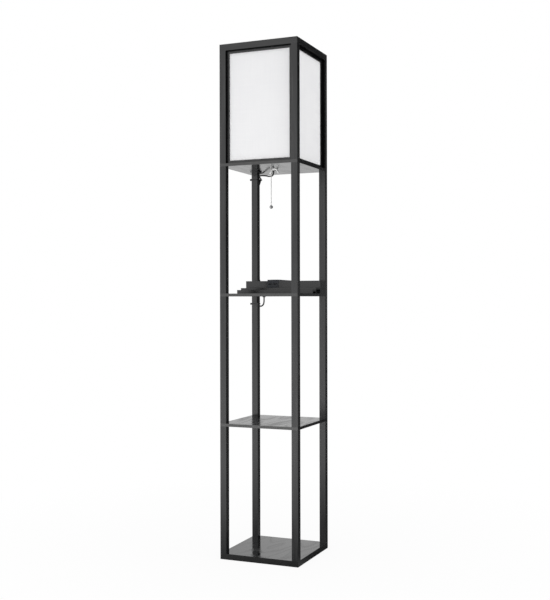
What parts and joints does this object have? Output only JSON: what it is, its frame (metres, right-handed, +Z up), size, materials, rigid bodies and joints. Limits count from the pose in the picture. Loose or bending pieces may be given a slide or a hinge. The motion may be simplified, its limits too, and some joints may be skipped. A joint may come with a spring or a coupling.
{
  "type": "shelf floor lamp",
  "caption": "Tall square floor lamp with open display shelves, a stepped power console, a framed fabric shade and a pull chain.",
  "frame": {"origin": "centre of the base board's underside, on the floor", "axes": "+Z up the posts, -Y towards the front with the steps, +X to the right seen from the front"},
  "size_m": [0.2663, 0.2675, 1.6],
  "materials": {
    "laminate": "semi-gloss black wood-grain laminate",
    "shade_fabric": "plain woven off-white",
    "zinc_steel": "zinc plated",
    "holder_plastic": "moulded black",
    "brass_shell": "plain",
    "white_plastic": "moulded white",
    "cap_metal": "plain",
    "bulb_glass": "frosted white",
    "chain_metal": "nickel plated",
    "module_plastic": "fine moulded dark blue-black",
    "socket_metal": "plain",
    "black_plastic": "moulded black",
    "lead_jacket": "matte black"
  },
  "bodies": {
    "stand": {"base_board": "laminate", "lower_shelf": "laminate", "middle_shelf": "laminate", "shade_shelf": "laminate", "top_rail_front": "laminate", "top_rail_right": "laminate", "top_rail_rear": "laminate", "top_rail_left": "laminate", "lower_post_front_left": "laminate", "lower_post_front_right": "laminate", "lower_post_rear_right": "laminate", "lower_post_rear_left": "laminate", "middle_post_front_left": "laminate", "middle_post_front_right": "laminate", "middle_post_rear_right": "laminate", "middle_post_rear_left": "laminate", "display_post_front_left": "laminate", "display_post_front_right": "laminate", "display_post_rear_right": "laminate", "display_post_rear_left": "laminate", "shade_post_front_left": "laminate", "shade_post_front_right": "laminate", "shade_post_rear_right": "laminate", "shade_post_rear_left": "laminate", "panel_frame_front": "laminate", "panel_frame_right": "laminate", "panel_frame_rear": "laminate", "panel_frame_left": "laminate", "console_front": "laminate", "console_top": "laminate", "console_rear": "laminate", "console_ends": "laminate", "console_blocks": "laminate", "tread_front": "laminate", "tread_rear": "laminate", "panel_fabric_front": "shade_fabric", "panel_fabric_right": "shade_fabric", "panel_fabric_rear": "shade_fabric", "panel_fabric_left": "shade_fabric", "base_bolts": "zinc_steel", "shelf_studs": "zinc_steel", "post_inserts": "zinc_steel", "frame_pins": "zinc_steel", "holder_body": "holder_plastic", "screw_shell": "brass_shell", "wing_nut": "white_plastic", "bulb_cap": "cap_metal", "bulb_globe": "bulb_glass", "module_housing": "module_plastic", "outlet_face": "module_plastic", "usb_sockets": "socket_metal", "cord_glands": "black_plastic", "cable_ties": "black_plastic", "lead_loop": "lead_jacket", "lead_riser": "lead_jacket", "lead_lamp": "lead_jacket"},
    "pull_rod": {"pull_rod": "chain_metal"},
    "chain_link": {"chain_link": "chain_metal"},
    "chain": {"pull_chain": "chain_metal", "pull_ball": "chain_metal"}
  },
  "joints": [
    {"name": "pull_slide", "type": "slide", "parent": "stand", "child": "pull_rod", "axis": [0, 0, -1], "range_m": [0, 0.01], "stiffness_N_per_m": 300, "springref_m": -0.003},
    {"name": "chain_swing_depth", "type": "hinge", "parent": "pull_rod", "child": "chain_link", "pos_m": [-0.008, -0.0088, 1.204], "axis": [1, 0, 0], "range_deg": [-30, 30]},
    {"name": "chain_swing_side", "type": "hinge", "parent": "chain_link", "child": "chain", "pos_m": [-0.008, -0.0088, 1.204], "axis": [0, 1, 0], "range_deg": [-30, 30]}
  ]
}
